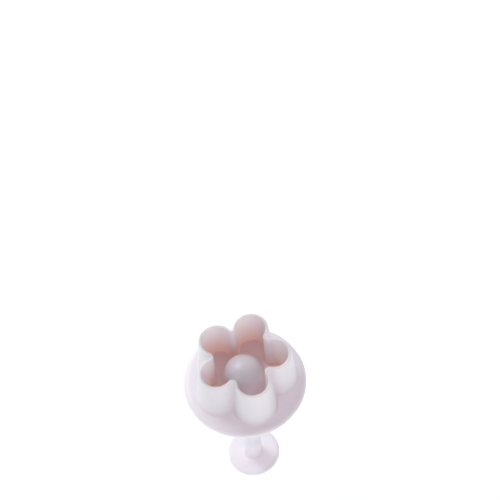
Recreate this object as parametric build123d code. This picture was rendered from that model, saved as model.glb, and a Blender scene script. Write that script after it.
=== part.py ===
from build123d import *
import os
from math import cos, pi, sin, sqrt

# Five-petal plunger cutter, standing on its thumb knob with the cutting edge up.
# Millimetres, +Z along the axis, origin on the axis at the knob's flat underside.
# A spring inside the sleeve holds the stamp back on the floor of the cutter's pocket.
# Pressing the knob pushes the stamp forward until its plate stands a little past the cutting edge.

# Blossom outline of the pocket, seen from the front: five equal round lobes with wide rounds between them
petals = 5
petal_tip_radius = 13.87
petal_corner_radius = 8.45
corner_round = 1.43

# Cutting wall: thin at the rim, drafted outside to a thick foot on the flange, with a crease between petals
wall_height = 15.2
rim_wall = 0.8
corner_wall = 0.55
rim_round = 0.15
foot_wall = 2.45
foot_groove_round = 0.5
foot_round = 0.3

# Flange: a round disc that falls away softly to its edge, with a shallow ring recessed in its back
flange_thickness = 2.4
foot_margin = 0.68
edge_width = 2.0
edge_drop = 1.25
recess_depth = 0.6
recess_margin = 2.2
recess_land = 0.9
recess_round = 0.4

# Pocket floor and the web that closes the sleeve, with a guide hole for the rod
floor_depth = 0.8
web_thickness = 1.5

# Sleeve: tapered outside, bored straight for the stem
sleeve_length = 33.5
sleeve_taper = 0.65
sleeve_root_round = 2.0
mouth_round = 0.35
mouth_land = 0.3
mouth_chamfer = 0.8

# Stamp: blossom plate with a round dome on a short neck, and the rod behind it
plate_thickness = 1.5
plate_round = 0.3
plate_reach = 3.5
dome_land = 0.45
dome_foot_round = 1.6
dome_neck = 2.7
rod_radius = 1.75
rod_chamfer = 0.4

# Knob: thumb disc and the stem that runs in the sleeve and holds the rod's end
knob_radius = 9.1
knob_thickness = 1.8
knob_edge_flat = 0.2
stem_radius = 3.1
stem_root_round = 0.6
stem_chamfer = 0.3
stem_engagement = 6.0
socket_depth = 14.0

# Spring: round steel wire, with its turns drawn closer at both ends
wire_radius = 0.225
spring_turns = 10
end_turns = 1
ramp_turns = 1
end_pitch = 1.0

# Clearances, and the overrun of every cut
stamp_clearance = 0.3
running_clearance = 0.1
seat_clearance = 0.02
stop_clearance = 0.05
overrun = 1.0

# Heights along the axis, worked out from the knob's underside up
stroke = wall_height + floor_depth - plate_thickness + plate_reach
mouth_z = knob_thickness + stroke + stop_clearance
back_z = mouth_z + sleeve_length
face_z = back_z + flange_thickness
edge_z = face_z - edge_drop
rim_z = face_z + wall_height
floor_z = face_z - floor_depth
web_z = floor_z - web_thickness
plate_z = floor_z + plate_thickness
stem_z = mouth_z + stem_engagement
rod_end_z = stem_z - socket_depth

# Petal circles that pass through the tips and touch the rounds of the inner corners
corner_ring_radius = petal_corner_radius + corner_round
tip_reach = petal_tip_radius + corner_round
corner_reach = corner_ring_radius * cos(pi / petals)
petal_ring_radius = (tip_reach**2 - corner_ring_radius**2) / (2 * (tip_reach - corner_reach))
petal_radius = petal_tip_radius - petal_ring_radius

# Groove round at the rim, between outer lobes that leave the named wall at the inner corners
rim_lobe = petal_radius + rim_wall
rim_corner = petal_corner_radius + corner_wall
mid_reach = petal_ring_radius * cos(pi / petals)
rim_excess = rim_lobe**2 - rim_corner**2 + 2 * rim_corner * mid_reach - petal_ring_radius**2
rim_groove_round = rim_excess / (2 * (rim_corner - mid_reach - rim_lobe))

# Sizes that follow their neighbours, from the axis out
bore_radius = stem_radius + running_clearance
guide_radius = rod_radius + running_clearance
socket_radius = rod_radius + seat_clearance
spring_radius = (rod_radius + bore_radius) / 2
sleeve_mouth_radius = bore_radius + mouth_chamfer + mouth_land + mouth_round
sleeve_root_radius = sleeve_mouth_radius + sleeve_taper
dome_foot_radius = petal_corner_radius - stamp_clearance - plate_round - dome_land
dome_radius = dome_foot_radius - dome_foot_round
flange_radius = petal_tip_radius + foot_wall + foot_margin + edge_width
knob_round = (knob_thickness - knob_edge_flat) / 2


def polar(radius, angle, z):
    """Point at an angle about the axis."""
    return Vector(radius * cos(angle), radius * sin(angle), z)


def blossom(lobe_radius, valley_round, z):
    """Face of equal petal arcs, joined by tangent arcs that round the corners between them."""
    step = 2 * pi / petals
    across = petal_ring_radius * sin(step / 2)
    valley_ring = mid_reach + sqrt((lobe_radius + valley_round) ** 2 - across**2)
    arcs = []
    for petal in range(petals):
        angle = petal * step - pi / 2
        centre = polar(petal_ring_radius, angle, z)
        next_centre = polar(petal_ring_radius, angle + step, z)
        valley_before = polar(valley_ring, angle - step / 2, z)
        valley_after = polar(valley_ring, angle + step / 2, z)
        start = centre + (valley_before - centre).normalized() * lobe_radius
        tip = polar(petal_ring_radius + lobe_radius, angle, z)
        end = centre + (valley_after - centre).normalized() * lobe_radius
        valley = polar(valley_ring - valley_round, angle + step / 2, z)
        next_start = next_centre + (valley_after - next_centre).normalized() * lobe_radius
        arcs.append(ThreePointArc(start, tip, end))
        arcs.append(ThreePointArc(end, valley, next_start))
    return Face(Wire(arcs))


def rounded(outline, corners):
    """Flat outline with the corners of (radius, height, size) rounded by their sizes."""
    for radius, height, size in corners:
        if size > 0:
            corner = outline.vertices().sort_by_distance((radius, height))[0]
            outline = fillet(corner, size)
    return outline


def turned(corners):
    """Solid turned about the axis from corners of (radius, height, size), each rounded by its size."""
    outline = make_face(Polyline([(radius, height) for radius, height, size in corners], close=True))
    return revolve(Plane.XZ * rounded(outline, corners), Axis.Z)


def at_height(shape, height):
    """Edges of a shape that lie flat at one height."""
    return shape.edges().filter_by_position(Axis.Z, height, height)


def make_cutter_body():
    """Cutting wall, flange and sleeve, moulded in one."""
    face_radius = flange_radius - edge_width
    back_round = flange_thickness - edge_drop
    back_radius = flange_radius - back_round
    outline = make_face(
        [
            Line((0, mouth_z), (0, face_z)),
            Line((0, face_z), (face_radius, face_z)),
            EllipticalCenterArc((face_radius, edge_z), edge_width, edge_drop, start_angle=0, arc_size=90),
            CenterArc((back_radius, edge_z), back_round, start_angle=-90, arc_size=90),
            Line((back_radius, back_z), (sleeve_root_radius, back_z)),
            Line((sleeve_root_radius, back_z), (sleeve_mouth_radius, mouth_z)),
            Line((sleeve_mouth_radius, mouth_z), (0, mouth_z)),
        ]
    )
    corners = [
        (sleeve_root_radius, back_z, sleeve_root_round),
        (sleeve_mouth_radius, mouth_z, mouth_round),
    ]
    handle = revolve(Plane.XZ * rounded(outline, corners), Axis.Z)
    outside = loft(
        [
            blossom(petal_radius + foot_wall, foot_groove_round, face_z),
            blossom(rim_lobe, rim_groove_round, rim_z),
        ],
        ruled=True,
    )
    body = handle + outside
    foot_edges = at_height(body, face_z).filter_by(lambda edge: not edge.is_closed)
    body = fillet(foot_edges, foot_round)
    pocket_height = rim_z - floor_z
    pocket = extrude(blossom(petal_radius, corner_round, floor_z), pocket_height + overrun, dir=(0, 0, 1))
    body -= pocket
    recess_inner = sleeve_root_radius + sleeve_root_round + recess_land
    recess_outer = flange_radius - recess_margin
    recess = turned(
        [
            (recess_inner, back_z - overrun, 0),
            (recess_outer, back_z - overrun, 0),
            (recess_outer, back_z + recess_depth, recess_round),
            (recess_inner, back_z + recess_depth, recess_round),
        ]
    )
    body -= recess
    mouth_radius = bore_radius + mouth_chamfer
    bore = turned(
        [
            (0, mouth_z - overrun, 0),
            (mouth_radius + overrun, mouth_z - overrun, 0),
            (bore_radius, mouth_z + mouth_chamfer, 0),
            (bore_radius, web_z, 0),
            (guide_radius, web_z, 0),
            (guide_radius, floor_z + overrun, 0),
            (0, floor_z + overrun, 0),
        ]
    )
    body -= bore
    body = fillet(at_height(body, rim_z), rim_round)
    return body


def make_stamp():
    """Blossom plate with its dome and rod, moulded in one."""
    lobe = petal_radius - stamp_clearance
    valley = corner_round + stamp_clearance
    plate = extrude(blossom(lobe, valley, floor_z), plate_thickness, dir=(0, 0, 1))
    plate = fillet(at_height(plate, plate_z), plate_round)
    centre_z = plate_z + dome_neck
    round_z = plate_z + dome_foot_round
    profile = [
        Line((0, floor_z), (dome_foot_radius, floor_z)),
        Line((dome_foot_radius, floor_z), (dome_foot_radius, plate_z)),
        CenterArc((dome_foot_radius, round_z), dome_foot_round, start_angle=180, arc_size=90),
        Line((dome_radius, round_z), (dome_radius, centre_z)),
        CenterArc((0, centre_z), dome_radius, start_angle=0, arc_size=90),
        Line((0, centre_z + dome_radius), (0, floor_z)),
    ]
    dome = revolve(Plane.XZ * make_face(profile), Axis.Z)
    rod = turned(
        [
            (0, floor_z, 0),
            (rod_radius, floor_z, 0),
            (rod_radius, rod_end_z + rod_chamfer, 0),
            (rod_radius - rod_chamfer, rod_end_z, 0),
            (0, rod_end_z, 0),
        ]
    )
    return plate + dome + rod


def make_knob():
    """Thumb disc and stem, moulded in one, with the socket for the rod."""
    knob = turned(
        [
            (0, 0, 0),
            (knob_radius, 0, knob_round),
            (knob_radius, knob_thickness, knob_round),
            (stem_radius, knob_thickness, stem_root_round),
            (stem_radius, stem_z - stem_chamfer, 0),
            (stem_radius - stem_chamfer, stem_z, 0),
            (0, stem_z, 0),
        ]
    )
    socket = Pos(0, 0, rod_end_z) * extrude(Circle(socket_radius), socket_depth + overrun)
    return knob - socket


def make_spring():
    """Compression spring between the stem's end and the web."""
    low_z = stem_z + seat_clearance + wire_radius
    high_z = web_z - seat_clearance - wire_radius
    close_rise = end_pitch * (2 * end_turns + ramp_turns)
    open_pitch = (high_z - low_z - close_rise) / (spring_turns - 2 * end_turns - ramp_turns)
    slope_change = (open_pitch - end_pitch) / ramp_turns

    def rise(turns):
        if turns > spring_turns / 2:
            return high_z - low_z - rise(spring_turns - turns)
        ramp = min(max(turns - end_turns, 0), ramp_turns)
        opened = max(turns - end_turns - ramp_turns, 0)
        return end_pitch * turns + slope_change * (ramp**2 / 2 + ramp_turns * opened)

    def pitch(turns):
        nearest_end = min(turns, spring_turns - turns)
        return end_pitch + slope_change * min(max(nearest_end - end_turns, 0), ramp_turns)

    quarters = [index / 4 for index in range(4 * spring_turns + 1)]
    points = [polar(spring_radius, 2 * pi * turns, low_z + rise(turns)) for turns in quarters]
    tangents = []
    for turns in quarters:
        angle = 2 * pi * turns
        around = 2 * pi * spring_radius
        tangents.append(Vector(-around * sin(angle), around * cos(angle), pitch(turns)).normalized())
    path = []
    for start, end, leaving, arriving in zip(points, points[1:], tangents, tangents[1:]):
        chord = end - start
        both = leaving + arriving
        turn = 2 * (1 - leaving.dot(arriving))
        reach = (sqrt(chord.dot(both) ** 2 + turn * chord.dot(chord)) - chord.dot(both)) / turn
        middle = (start + leaving * reach + end - arriving * reach) * 0.5
        path.append(TangentArc(start, middle, tangent=leaving))
        path.append(TangentArc(middle, end, tangent=middle - start - leaving * reach))
    least_gap = min(rise(turns + 1) - rise(turns) for turns in quarters if turns <= spring_turns - 1)
    print("least gap between turns", round(least_gap - 2 * wire_radius, 3))
    section = Plane(origin=points[0], z_dir=tangents[0]) * Circle(wire_radius)
    return sweep(section, path=Wire(path))


pieces = {
    "cutter_body": make_cutter_body(),
    "stamp": make_stamp(),
    "knob": make_knob(),
    "spring": make_spring(),
}

os.makedirs("parts", exist_ok=True)
for name, piece in pieces.items():
    export_step(piece, f"parts/{name}.step")
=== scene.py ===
import math

import bmesh
import bpy
import numpy as np
from mathutils import Euler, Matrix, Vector


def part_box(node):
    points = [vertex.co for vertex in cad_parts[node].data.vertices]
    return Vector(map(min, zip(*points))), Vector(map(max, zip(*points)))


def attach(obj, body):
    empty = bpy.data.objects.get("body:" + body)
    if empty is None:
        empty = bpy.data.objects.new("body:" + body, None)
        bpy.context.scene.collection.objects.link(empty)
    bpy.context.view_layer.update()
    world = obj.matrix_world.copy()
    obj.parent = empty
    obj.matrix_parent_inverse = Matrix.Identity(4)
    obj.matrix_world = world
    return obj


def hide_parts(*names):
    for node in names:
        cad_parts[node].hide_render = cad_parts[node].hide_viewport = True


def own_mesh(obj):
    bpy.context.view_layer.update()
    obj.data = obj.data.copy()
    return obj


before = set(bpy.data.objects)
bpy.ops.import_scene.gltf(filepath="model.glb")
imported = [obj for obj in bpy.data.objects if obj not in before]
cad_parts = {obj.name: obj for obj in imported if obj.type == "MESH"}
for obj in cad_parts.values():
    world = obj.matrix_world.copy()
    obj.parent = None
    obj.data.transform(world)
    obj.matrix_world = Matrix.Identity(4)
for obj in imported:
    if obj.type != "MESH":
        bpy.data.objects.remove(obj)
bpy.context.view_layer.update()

# Cutter body: the cutting wall, the flange and the sleeve, moulded in one from milky white plastic.
# Five equal petals stand on the flange, thin at the rim and drafted to a thick foot, and are open down to
# the pocket's floor. The sleeve behind the flange is bored for the stem, and a ring is recessed round it.
MM = 0.001
PETALS = 5
body_low, body_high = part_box("cutter_body")
petal_tip_radius = 13.87 * MM
petal_corner_radius = 8.45 * MM
corner_round = 1.43 * MM
rim_z = body_high.z
mouth_z = body_low.z
flange_radius = body_high.x
wall_height = 15.2 * MM
rim_wall = 0.8 * MM
corner_wall = 0.55 * MM
rim_round = 0.15 * MM
foot_wall = 2.45 * MM
foot_groove_round = 0.5 * MM
foot_round = 0.3 * MM
flange_thickness = 2.4 * MM
edge_width = 2.0 * MM
edge_drop = 1.25 * MM
flash_height = 0.03 * MM
flash_width = 0.12 * MM
recess_depth = 0.6 * MM
recess_margin = 2.2 * MM
recess_land = 0.9 * MM
recess_round = 0.4 * MM
floor_depth = 0.8 * MM
web_thickness = 1.5 * MM
sleeve_taper = 0.65 * MM
sleeve_root_round = 2.0 * MM
mouth_round = 0.35 * MM
mouth_land = 0.3 * MM
mouth_chamfer = 0.8 * MM
bore_radius = 3.2 * MM
guide_radius = 1.85 * MM
face_z = rim_z - wall_height
back_z = face_z - flange_thickness
edge_z = face_z - edge_drop
floor_z = face_z - floor_depth
web_z = floor_z - web_thickness

half_step = math.pi / PETALS
corner_ring_radius = petal_corner_radius + corner_round
tip_reach = petal_tip_radius + corner_round
corner_reach = corner_ring_radius * math.cos(half_step)
petal_ring_radius = (tip_reach**2 - corner_ring_radius**2) / (2 * (tip_reach - corner_reach))
petal_radius = petal_tip_radius - petal_ring_radius

rim_lobe = petal_radius + rim_wall
rim_corner = petal_corner_radius + corner_wall
mid_reach = petal_ring_radius * math.cos(half_step)
rim_excess = rim_lobe**2 - rim_corner**2 + 2 * rim_corner * mid_reach - petal_ring_radius**2
rim_groove_round = rim_excess / (2 * (rim_corner - mid_reach - rim_lobe))


def petal_columns():
    """Angles of the mesh's columns, one petal after another, set closer together at the inner corners."""
    lobe_share = 0.76
    corner_share = 0.96
    lobe = np.linspace(0, lobe_share, 16, endpoint=False)
    corner = np.linspace(lobe_share, corner_share, 10, endpoint=False)
    groove = np.linspace(corner_share, 1, 5, endpoint=False)
    rising = np.concatenate([lobe, corner, groove])
    falling = 2 - np.concatenate([[1], rising[:0:-1]])
    shares = np.concatenate([rising, falling])
    petal_starts = np.arange(PETALS) * 2 * half_step - math.pi / 2
    return (petal_starts[:, None] + shares * half_step).ravel()


COLUMNS = petal_columns()


def blossom(lobe_radius, valley_round):
    """Distance from the axis to the blossom outline in each column."""
    across = petal_ring_radius * math.sin(half_step)
    valley_ring = mid_reach + math.sqrt((lobe_radius + valley_round) ** 2 - across**2)
    touch_share = lobe_radius / (lobe_radius + valley_round)
    touch_x = petal_ring_radius + touch_share * (valley_ring * math.cos(half_step) - petal_ring_radius)
    touch_y = touch_share * valley_ring * math.sin(half_step)
    from_tip = np.abs((COLUMNS + math.pi / 2 + half_step) % (2 * half_step) - half_step)
    from_valley = half_step - from_tip
    lobe_square = lobe_radius**2 - (petal_ring_radius * np.sin(from_tip)) ** 2
    on_lobe = petal_ring_radius * np.cos(from_tip) + np.sqrt(np.maximum(lobe_square, 0))
    valley_square = valley_round**2 - (valley_ring * np.sin(from_valley)) ** 2
    in_valley = valley_ring * np.cos(from_valley) - np.sqrt(np.maximum(valley_square, 0))
    return np.where(from_tip < math.atan2(touch_y, touch_x), on_lobe, in_valley)


def arc(centre_radius, centre_z, radius, start, end, steps, rise=None):
    """Points (radius, height) of an arc in the turned profile, with angles in degrees."""
    points = []
    for step in range(steps + 1):
        angle = math.radians(start + (end - start) * step / steps)
        height = (rise or radius) * math.sin(angle)
        points.append((centre_radius + radius * math.cos(angle), centre_z + height))
    return points


def between(first, last, steps):
    """Rings that pass evenly from one ring to another, without either end."""
    rings = []
    for step in range(1, steps):
        share = step / steps
        rings.append(tuple(a * (1 - share) + b * share for a, b in zip(first, last)))
    return rings


def ringed(name, rings, closed=False):
    """Object of quads between rings about the axis. A ring is a radius, or radii by column, and a height."""
    weld_distance = 0.001 * MM
    crease_degrees = 35
    points = []
    for radius, height in rings:
        x = radius * np.cos(COLUMNS)
        y = radius * np.sin(COLUMNS)
        points.append(np.stack([x, y, np.full(len(COLUMNS), height)], axis=1))
    count = len(COLUMNS)
    faces = []
    for ring in range(len(rings) if closed else len(rings) - 1):
        below = ring * count
        above = (ring + 1) % len(rings) * count
        for column in range(count):
            after = (column + 1) % count
            faces.append((below + column, below + after, above + after, above + column))
    mesh = bpy.data.meshes.new(name)
    mesh.from_pydata(np.concatenate(points).tolist(), [], faces)
    shell = bmesh.new()
    shell.from_mesh(mesh)
    bmesh.ops.remove_doubles(shell, verts=shell.verts, dist=weld_distance)
    bmesh.ops.recalc_face_normals(shell, faces=shell.faces)
    shell.to_mesh(mesh)
    shell.free()
    mesh.shade_smooth()
    mesh.set_sharp_from_angle(angle=math.radians(crease_degrees))
    piece = bpy.data.objects.new(name, mesh)
    bpy.context.scene.collection.objects.link(piece)
    flats = piece.modifiers.new("flats_stay_flat", "WEIGHTED_NORMAL")
    flats.keep_sharp = True
    return piece


class Shade:
    """A shader socket. Arithmetic on it adds Math nodes, and node adds any other node."""

    def __init__(self, tree, socket=None):
        self.tree = tree
        self.socket = socket

    def node(self, kind, settings, inputs, output=0):
        """The output of a new node, whose settings come first and then its sockets' values or links."""
        made = self.tree.nodes.new(kind)
        for setting, value in settings.items():
            setattr(made, setting, value)
        for socket, value in inputs.items():
            if isinstance(value, Shade):
                self.tree.links.new(value.socket, made.inputs[socket])
            else:
                made.inputs[socket].default_value = value
        return Shade(self.tree, made.outputs[output])

    def math(self, operation, *values):
        return self.node("ShaderNodeMath", {"operation": operation}, dict(enumerate(values)))

    def __add__(self, other):
        return self.math("ADD", self, other)

    def __sub__(self, other):
        return self.math("SUBTRACT", self, other)

    def __rsub__(self, other):
        return self.math("SUBTRACT", other, self)

    def __mul__(self, other):
        return self.math("MULTIPLY", self, other)

    def __abs__(self):
        return self.math("ABSOLUTE", self)

    __radd__ = __add__
    __rmul__ = __mul__

    def ramp(self, low, high):
        """Rises smoothly from 0 to 1 as the value goes from low to high."""
        limits = {"Value": self, "From Min": low, "From Max": high}
        return self.node("ShaderNodeMapRange", {"interpolation_type": "SMOOTHSTEP"}, limits)

    def tint(self, none, full):
        """Colour that goes from none to full with the value."""
        return self.node("ShaderNodeMix", {"data_type": "RGBA"}, {0: self, 6: none, 7: full}, 2)

    def axis(self, name):
        """One component of a position."""
        return self.node("ShaderNodeSeparateXYZ", {}, {"Vector": self}, name)

    def from_axis(self):
        """Distance of a position from the cutter's axis."""
        flat = self.stretched(1.0, 1.0, 0.0)
        return self.node("ShaderNodeVectorMath", {"operation": "LENGTH"}, {0: flat}, "Value")

    def noise(self, scale, detail=2.0):
        """Even noise about one half, with the features set by the scale, per metre."""
        settings = {"Vector": self, "Scale": scale, "Detail": detail}
        return self.node("ShaderNodeTexNoise", {}, settings)

    def stretched(self, x, y, z):
        """The position scaled along each axis."""
        scaled = {0: self, 1: (x, y, z)}
        return self.node("ShaderNodeVectorMath", {"operation": "MULTIPLY"}, scaled)

    def plus(self, other):
        """The sum of two colours."""
        return self.node("ShaderNodeVectorMath", {"operation": "ADD"}, {0: self, 1: other})

    def shown(self):
        """Shows this shader on the surface."""
        output = self.tree.nodes.new("ShaderNodeOutputMaterial")
        self.tree.links.new(self.socket, output.inputs["Surface"])


MILK_WHITE = (0.93, 0.885, 0.95, 1.0)
CLOUDED_WHITE = (0.91, 0.86, 0.925, 1.0)
# Painted warm light: the tint of light that comes through the plastic into its hollows.
PAINTED_LIGHT_MILK = (0.96, 0.745, 0.69, 1.0)
# Painted shade for the slit round the stamp's plate.
SLIT_SHADE_BROWN = (0.88, 0.66, 0.62, 1.0)
# Greyer tone of the thick flange and sleeve, also used as painted shade at the wall's foot.
FLANGE_GREY_AND_FOOT_SHADE = (0.85, 0.8, 0.87, 1.0)
NO_LIGHT = (0.0, 0.0, 0.0, 1.0)
CLOUDS_PER_METRE = 170.0
GRAINS_PER_METRE = 5200.0
RUBS_PER_METRE = 900.0
RUB_FLATTENING = 14.0
SKIN_RELIEF = 0.012 * MM


def new_material(name):
    """Empty material, with the object's own coordinates to start from."""
    material = bpy.data.materials.new(name)
    material.use_nodes = True
    material.node_tree.nodes.clear()
    start = Shade(material.node_tree)
    return material, start.node("ShaderNodeTexCoord", {}, {}, "Object")


def milky_plastic(name, travel, gloss, painted_light_where, glow, tints_and_shades=()):
    """Milky plastic: light travels inside it, and its skin has gloss, faint clouds, grain and rub marks.
    Where the given mask is full it is painted a warm light tint and glows, standing in for light that comes
    through the plastic, and the listed tints and painted shades are laid over it.
    """
    material, place = new_material(name)
    clouds = place.noise(CLOUDS_PER_METRE, 3.0).ramp(0.35, 0.65)
    grain = place.noise(GRAINS_PER_METRE)
    rubs = place.stretched(1.0, 1.0, RUB_FLATTENING).noise(RUBS_PER_METRE, 1.0).ramp(0.62, 0.7)
    milk = (clouds * 0.35).tint(MILK_WHITE, CLOUDED_WHITE)
    # Painted light: a warm tint and a glow where the mask is full, for light that comes in through the
    # plastic.
    painted_light = painted_light_where(place)
    base = painted_light.tint(milk, PAINTED_LIGHT_MILK)
    for where, colour in tints_and_shades:
        base = where(place).tint(base, colour)
    height = grain * 0.6 - rubs * 0.4
    bump = place.node("ShaderNodeBump", {}, {"Strength": 0.5, "Distance": SKIN_RELIEF, "Height": height})
    finish = {
        "Base Color": base,
        "Roughness": 0.36 + 0.08 * grain + 0.07 * rubs,
        "IOR": 1.49,
        "Subsurface Weight": 1.0,
        "Subsurface Radius": (1.0, 0.8, 0.78),
        "Subsurface Scale": travel,
        "Coat Weight": gloss,
        "Coat Roughness": 0.38,
        "Emission Color": painted_light.tint(NO_LIGHT, glow),
        "Emission Strength": 1.0,
        "Normal": bump,
    }
    place.node("ShaderNodeBsdfPrincipled", {}, finish).shown()
    return material


foot_lobe = petal_radius + foot_wall
foot = blossom(foot_lobe, foot_groove_round)
rim_outside = blossom(rim_lobe, rim_groove_round)
pocket = blossom(petal_radius, corner_round)


def outside_wall(height):
    """The drafted outside of the wall at a height above the flange."""
    share = height / wall_height
    return foot * (1 - share) + rim_outside * share


def make_cutter_shell():
    """Rings from the sleeve's mouth up its outside, round the flange, over the wall and down to the bore."""
    mouth_radius = bore_radius + mouth_chamfer
    sleeve_mouth = mouth_radius + mouth_land
    sleeve_root = sleeve_mouth + mouth_round + sleeve_taper
    back_round = flange_thickness - edge_drop
    back_radius = flange_radius - back_round
    recess_inner = sleeve_root + sleeve_root_round + recess_land
    recess_outer = flange_radius - recess_margin
    recess_z = back_z + recess_depth
    rings = [(mouth_radius, mouth_z)]
    rings += arc(sleeve_mouth, mouth_z + mouth_round, mouth_round, -90, 0, 5)
    root_low_z = back_z - sleeve_root_round
    rings += between(rings[-1], (sleeve_root, root_low_z), 8)
    rings += arc(sleeve_root + sleeve_root_round, root_low_z, sleeve_root_round, 180, 90, 12)
    rings.append((recess_inner, back_z))
    rings += arc(recess_inner + recess_round, recess_z - recess_round, recess_round, 180, 90, 5)
    rings += arc(recess_outer - recess_round, recess_z - recess_round, recess_round, 90, 0, 5)
    rings.append((recess_outer, back_z))
    rings += arc(back_radius, edge_z, back_round, -90, -5, 9)
    rings.append((flange_radius, edge_z - flash_width / 2))
    rings.append((flange_radius + flash_height, edge_z))
    rings.append((flange_radius, edge_z + flash_width / 2))
    rings += arc(flange_radius - edge_width, edge_z, edge_width, 8, 90, 12, rise=edge_drop)
    foot_start = blossom(foot_lobe + foot_round, foot_groove_round - foot_round)
    face_start = np.full(len(COLUMNS), flange_radius - edge_width)
    rings += between((face_start, face_z), (foot_start, face_z), 4)
    for offset, height in arc(foot_round, foot_round, foot_round, -90, -174, 6):
        lobe = foot_lobe + offset
        groove = foot_groove_round - offset
        rings.append((blossom(lobe, groove) + outside_wall(height) - foot, face_z + height))
    wall_top = wall_height - rim_round
    rings += between(rings[-1], (outside_wall(wall_top), face_z + wall_top), 12)
    for offset, height in arc(-rim_round, wall_top, rim_round, 0, 90, 4):
        rings.append((rim_outside + offset, face_z + height))
    for offset, height in arc(rim_round, wall_top, rim_round, 90, 180, 4):
        rings.append((pocket + offset, face_z + height))
    rings += between(rings[-1], (pocket, floor_z), 12)
    rings.append((pocket, floor_z))
    guide = np.full(len(COLUMNS), guide_radius)
    rings += between(rings[-1], (guide, floor_z), 5)
    rings.append((guide_radius, floor_z))
    rings.append((guide_radius, web_z))
    rings.append((bore_radius, web_z))
    rings.append((bore_radius, mouth_z + mouth_chamfer))
    return ringed("cutter_shell", rings, closed=True)


def in_pocket(place):
    """Full inside the pocket's outline, and nothing on the outside of the wall."""
    inner_skin = 0.2 * MM
    wall_middle = 0.5 * MM
    under_floor = 0.6 * MM
    turn = place.math("ARCTAN2", place.axis("Y"), place.axis("X"))
    from_tip = place.math("PINGPONG", turn + math.pi / 2, half_step)
    radius = place.from_axis()
    ring_pull = radius * 2 * petal_ring_radius * place.math("COSINE", from_tip)
    lobe_square = radius * radius - ring_pull + petal_ring_radius**2
    past_lobe = place.math("SQRT", lobe_square) - petal_radius
    past_corner = radius - petal_corner_radius
    inside = 1 - place.math("MINIMUM", past_lobe, past_corner).ramp(inner_skin, wall_middle)
    return inside * place.axis("Z").ramp(floor_z - under_floor, floor_z - inner_skin)


def lit_side(place):
    """Full at the back, where the light comes in through the wall, and less towards the front."""
    front_share = 0.45
    front_y = -9.0 * MM
    back_y = 3.0 * MM
    return front_share + (1 - front_share) * place.axis("Y").ramp(front_y, back_y)


def pocket_painted_light(place):
    """Painted warm light inside the pocket, for light that comes in through the wall, more so towards its
    floor and at the back.
    """
    depth = rim_z - place.axis("Z")
    return in_pocket(place) * depth.ramp(-0.2 * wall_height, wall_height) * lit_side(place)


def plate_slit_shade(place):
    """Painted shade in the narrow slit round the stamp's plate, at the foot of the pocket, more so at the
    back.
    """
    slit_start = floor_z + 0.6 * MM
    slit_end = floor_z + 1.7 * MM
    low_down = 1 - place.axis("Z").ramp(slit_start, slit_end)
    return in_pocket(place) * low_down * lit_side(place)


def flange_grey_and_foot_shade(place):
    """Greyer on the flange and sleeve, where the plastic is thick, and painted shade on the wall's outside
    near its foot, where it meets the flange.
    """
    thin_z = face_z + 3.0 * MM
    return 0.6 * (1 - in_pocket(place)) * (1 - place.axis("Z").ramp(face_z, thin_z))


cutter_shell = make_cutter_shell()
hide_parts("cutter_body")
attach(cutter_shell, "cutter")
# Painted glow: emission on the pocket's walls that stands in for light coming through them.
wall_glow = (0.026, 0.016, 0.017, 1.0)
# Painted shade in the slit round the plate and on the wall's foot, over the greyer flange and sleeve.
body_tints_and_shades = [(plate_slit_shade, SLIT_SHADE_BROWN), (flange_grey_and_foot_shade, FLANGE_GREY_AND_FOOT_SHADE)]
body_plastic = milky_plastic("body_plastic", 5.5 * MM, 0.3, pocket_painted_light, wall_glow, body_tints_and_shades)
cutter_shell.data.materials.append(body_plastic)

# Stamp: a blossom plate that fills the pocket, with a round dome on a short neck and the rod behind it.
# It is moulded in one from the same milky plastic, and its rod runs in the guide hole of the pocket's floor.
stamp_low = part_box("stamp")[0]
stamp_clearance = 0.3 * MM
plate_thickness = 1.5 * MM
plate_round = 0.3 * MM
dome_foot_round = 1.5 * MM
dome_land = 0.05 * MM
dome_neck = 2.2 * MM
rod_radius = 1.75 * MM
rod_chamfer = 0.4 * MM
plate_z = floor_z + plate_thickness
plate_air = 0.03 * MM
dome_foot_radius = petal_corner_radius - stamp_clearance - plate_round - dome_land
dome_radius = dome_foot_radius - dome_foot_round


def make_stamp():
    """Rings from the dome's crown down its neck, over the plate's edge and along the rod to its end."""
    centre_z = plate_z + dome_neck
    rings = arc(0, centre_z, dome_radius, 90, 0, 22)
    rings += arc(dome_foot_radius, plate_z + dome_foot_round, dome_foot_round, 180, 270, 8)
    lobe = petal_radius - stamp_clearance
    valley = corner_round + stamp_clearance
    flat_end = blossom(lobe - plate_round, valley + plate_round)
    foot_ring = np.full(len(COLUMNS), dome_foot_radius)
    rings += between((foot_ring, plate_z), (flat_end, plate_z), 4)
    for offset, height in arc(-plate_round, plate_z - plate_round, plate_round, 90, 0, 5):
        rings.append((blossom(lobe + offset, valley - offset), height))
    plate_edge = blossom(lobe, valley)
    rings.append((plate_edge, floor_z + plate_air))
    rod_ring = np.full(len(COLUMNS), rod_radius)
    rings += between(rings[-1], (rod_ring, floor_z + plate_air), 3)
    rings.append((rod_radius, floor_z + plate_air))
    rings.append((rod_radius, stamp_low.z + rod_chamfer))
    rings.append((rod_radius - rod_chamfer, stamp_low.z))
    rings.append((0, stamp_low.z))
    return ringed("stamp_plate_and_dome", rings)


def plate_painted_light(place):
    """Painted warm light on the plate and at the dome's foot, for light thrown on them by the pocket's
    walls, less so towards the crown, faint on the rod, and less at the front.
    """
    above_plate = place.axis("Z") - plate_z
    near_plate = (1 - above_plate.ramp(0.0, 5.0 * MM)) * above_plate.ramp(-8.0 * MM, -1.0 * MM)
    return 0.5 * near_plate * lit_side(place)


stamp = make_stamp()
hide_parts("stamp")
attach(stamp, "plunger")
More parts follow.
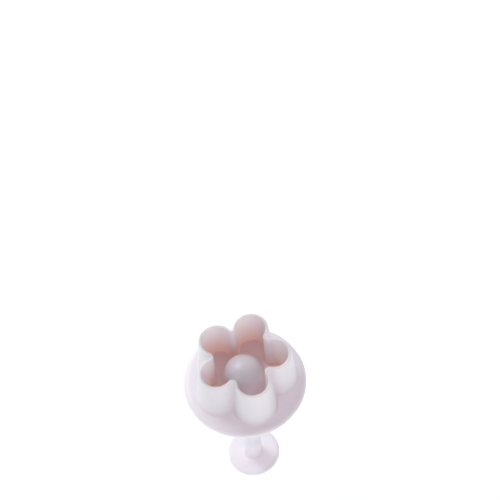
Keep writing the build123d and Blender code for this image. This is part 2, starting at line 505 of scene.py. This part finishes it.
# Painted glow: emission on the plate that stands in for light from the pocket's walls.
plate_glow = (0.2, 0.125, 0.13, 1.0)
stamp.data.materials.append(milky_plastic("stamp_plastic", 1.0 * MM, 1.0, plate_painted_light, plate_glow))

# Knob: the thumb disc and its stem, moulded in one, with the rod's end pressed into the stem's socket.
# The gate it was filled through shows as a small nib in a dimple under the disc.
knob_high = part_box("knob")[1]
knob_radius = knob_high.x
stem_z = knob_high.z
knob_thickness = 1.8 * MM
knob_edge_flat = 0.2 * MM
stem_radius = 3.1 * MM
stem_root_round = 0.6 * MM
stem_chamfer = 0.3 * MM
socket_depth = 14.0 * MM
socket_radius = 1.77 * MM
gate_radius = 0.5 * MM
gate_height = 0.12 * MM
dimple_radius = 1.8 * MM
dimple_depth = 0.22 * MM
dimple_slope = 0.4 * MM


def make_knob():
    """Rings from the gate under the disc out round its edge, up the stem and down into the socket."""
    knob_round = (knob_thickness - knob_edge_flat) / 2
    edge_radius = knob_radius - knob_round
    rings = [(0, dimple_depth - gate_height)]
    rings.append((gate_radius, dimple_depth - gate_height))
    rings.append((gate_radius, dimple_depth))
    rings.append((dimple_radius - dimple_slope, dimple_depth))
    rings.append((dimple_radius, 0))
    rings += between((dimple_radius, 0), (edge_radius, 0), 5)
    rings += arc(edge_radius, knob_round, knob_round, -90, 0, 10)
    rings += arc(edge_radius, knob_thickness - knob_round, knob_round, 0, 90, 10)
    root_radius = stem_radius + stem_root_round
    root_z = knob_thickness + stem_root_round
    rings += arc(root_radius, root_z, stem_root_round, 270, 180, 8)
    rings += between(rings[-1], (stem_radius, stem_z - stem_chamfer), 8)
    rings.append((stem_radius, stem_z - stem_chamfer))
    rings.append((stem_radius - stem_chamfer, stem_z))
    rings.append((socket_radius, stem_z))
    rings.append((socket_radius, stem_z - socket_depth))
    rings.append((0, stem_z - socket_depth))
    return ringed("thumb_knob", rings)


def socket_painted_light(place):
    """Painted warm light down in the stem's socket, where the light gets in only through the plastic."""
    return (1 - place.from_axis().ramp(1.8 * MM, 2.2 * MM)) * place.axis("Z").ramp(8.0 * MM, 14.0 * MM)


knob = make_knob()
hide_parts("knob")
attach(knob, "plunger")
knob.data.materials.append(milky_plastic("knob_plastic", 4.0 * MM, 0.3, socket_painted_light, NO_LIGHT))

# Return spring: steel wire wound round the rod inside the sleeve, from the stem's end to the web.
# Its turns are closer at both ends.
spring_low, spring_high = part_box("spring")
wire_radius = 0.225 * MM
wire_sides = 10
turn_count = 10
steps_per_turn = 28
spring_length = spring_high.z - spring_low.z
spring_radius = (rod_radius + bore_radius) / 2


def make_spring():
    """A tube of rings along the helix."""
    steps = turn_count * steps_per_turn
    end_share = 0.036
    share = np.linspace(0, 1, steps + 1)
    climb = share - (1 / (2 * math.pi) - end_share) * np.sin(2 * math.pi * share)
    angle = 2 * math.pi * turn_count * share
    height = spring_low.z + wire_radius + (spring_length - 2 * wire_radius) * climb
    points = []
    for turn_angle, z in zip(angle, height):
        outward = Vector((math.cos(turn_angle), math.sin(turn_angle), 0))
        for side in range(wire_sides):
            about = 2 * math.pi * side / wire_sides
            reach = spring_radius + wire_radius * math.cos(about)
            points.append(outward * reach + Vector((0, 0, z + wire_radius * math.sin(about))))
    faces = [tuple(range(wire_sides)), tuple(range(steps * wire_sides, (steps + 1) * wire_sides))]
    for step in range(steps):
        for side in range(wire_sides):
            after = (side + 1) % wire_sides
            low = step * wire_sides
            high = low + wire_sides
            faces.append((low + side, low + after, high + after, high + side))
    mesh = bpy.data.meshes.new("return_spring")
    mesh.from_pydata(points, [], faces)
    tube = bmesh.new()
    tube.from_mesh(mesh)
    bmesh.ops.recalc_face_normals(tube, faces=tube.faces)
    tube.to_mesh(mesh)
    tube.free()
    mesh.shade_smooth()
    mesh.set_sharp_from_angle(angle=math.radians(50))
    piece = bpy.data.objects.new("return_spring", mesh)
    bpy.context.scene.collection.objects.link(piece)
    return piece


def spring_steel():
    """Drawn steel wire with faint draw lines."""
    material, place = new_material("spring_steel")
    draw = place.stretched(1.0, 1.0, 6.0).noise(3000.0)
    finish = {
        "Base Color": draw.tint((0.52, 0.53, 0.55, 1.0), (0.66, 0.67, 0.68, 1.0)),
        "Metallic": 1.0,
        "Roughness": 0.25 + 0.15 * draw,
    }
    place.node("ShaderNodeBsdfPrincipled", {}, finish).shown()
    return material


spring = make_spring()
spring.data.materials.append(spring_steel())
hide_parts("spring")
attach(spring, "plunger")
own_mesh(spring)

# Studio: a plain white floor that glows, so that it stays white, and four soft patches of sky, three low
# and one high. A small soft light stands high at the back left, and the camera looks down from the front.
floor_side = 40.0
mesh = bpy.data.meshes.new("floor")
half = floor_side / 2
corners = [(-half, -half, 0), (half, -half, 0), (half, half, 0), (-half, half, 0)]
mesh.from_pydata(corners, [], [(0, 1, 2, 3)])
floor = bpy.data.objects.new("floor", mesh)
bpy.context.scene.collection.objects.link(floor)
material, place = new_material("floor_paper")
paper = {
    "Base Color": (0.5, 0.5, 0.5, 1.0),
    "Roughness": 0.9,
    "Emission Color": (0.86, 0.9, 1.0, 1.0),
    "Emission Strength": 0.85,
}
place.node("ShaderNodeBsdfPrincipled", {}, paper).shown()
mesh.materials.append(material)


def sky_patch(direction, toward, tightness, colour):
    """Soft patch of light round one direction of the sky."""
    aim = {0: direction, 1: toward}
    facing = direction.node("ShaderNodeVectorMath", {"operation": "DOT_PRODUCT"}, aim, "Value")
    lit = facing.math("MAXIMUM", facing, 0.0)
    patch = lit.math("POWER", lit, tightness)
    return patch.node("ShaderNodeVectorMath", {"operation": "SCALE"}, {0: colour, "Scale": patch})


world = bpy.data.worlds.new("studio")
world.use_nodes = True
sky = world.node_tree.nodes["Background"]
sky.inputs["Strength"].default_value = 1.0
direction = Shade(world.node_tree).node("ShaderNodeTexCoord", {}, {}, "Generated")
back_left = sky_patch(direction, (-0.5, 0.87, 0.1), 3.0, (1.7, 1.58, 1.36))
front_left = sky_patch(direction, (-0.5, -0.87, 0.1), 3.0, (0.95, 0.87, 0.91))
front_right = sky_patch(direction, (0.5, -0.87, 0.1), 3.0, (0.68, 0.6, 0.58))
high_right = sky_patch(direction, (0.48, 0.48, 0.73), 8.0, (0.92, 0.87, 0.94))
all_patches = back_left.plus(front_left).plus(front_right).plus(high_right)
world.node_tree.links.new(all_patches.socket, sky.inputs["Color"])
bpy.context.scene.world = world


def soft_light(name, place, aim, side, power, colour):
    """Square soft light that faces a point."""
    data = bpy.data.lights.new(name, "AREA")
    data.size = side
    data.energy = power
    data.color = colour
    lamp = bpy.data.objects.new(name, data)
    bpy.context.scene.collection.objects.link(lamp)
    lamp.location = place
    lamp.rotation_euler = (Vector(aim) - Vector(place)).to_track_quat("-Z", "Y").to_euler()
    return lamp


middle = (0.0, 0.0, 0.05)
soft_light("key_light", (-0.29, 0.51, 0.8), middle, 0.24, 2.45, (0.78, 0.89, 1.0))

camera_data = bpy.data.cameras.new("camera")
camera_data.sensor_width = 36.0
camera_data.lens = 72.0
camera_data.clip_start = 0.01
camera_data.clip_end = 60.0
camera = bpy.data.objects.new("camera", camera_data)
camera.location = (-33.68 * MM, -140.63 * MM, 330.97 * MM)
camera.rotation_euler = Euler([math.radians(turn) for turn in (34.87, 3.037, -19.92)])
bpy.context.scene.collection.objects.link(camera)
bpy.context.scene.camera = camera
bpy.context.scene.view_settings.view_transform = "Standard"
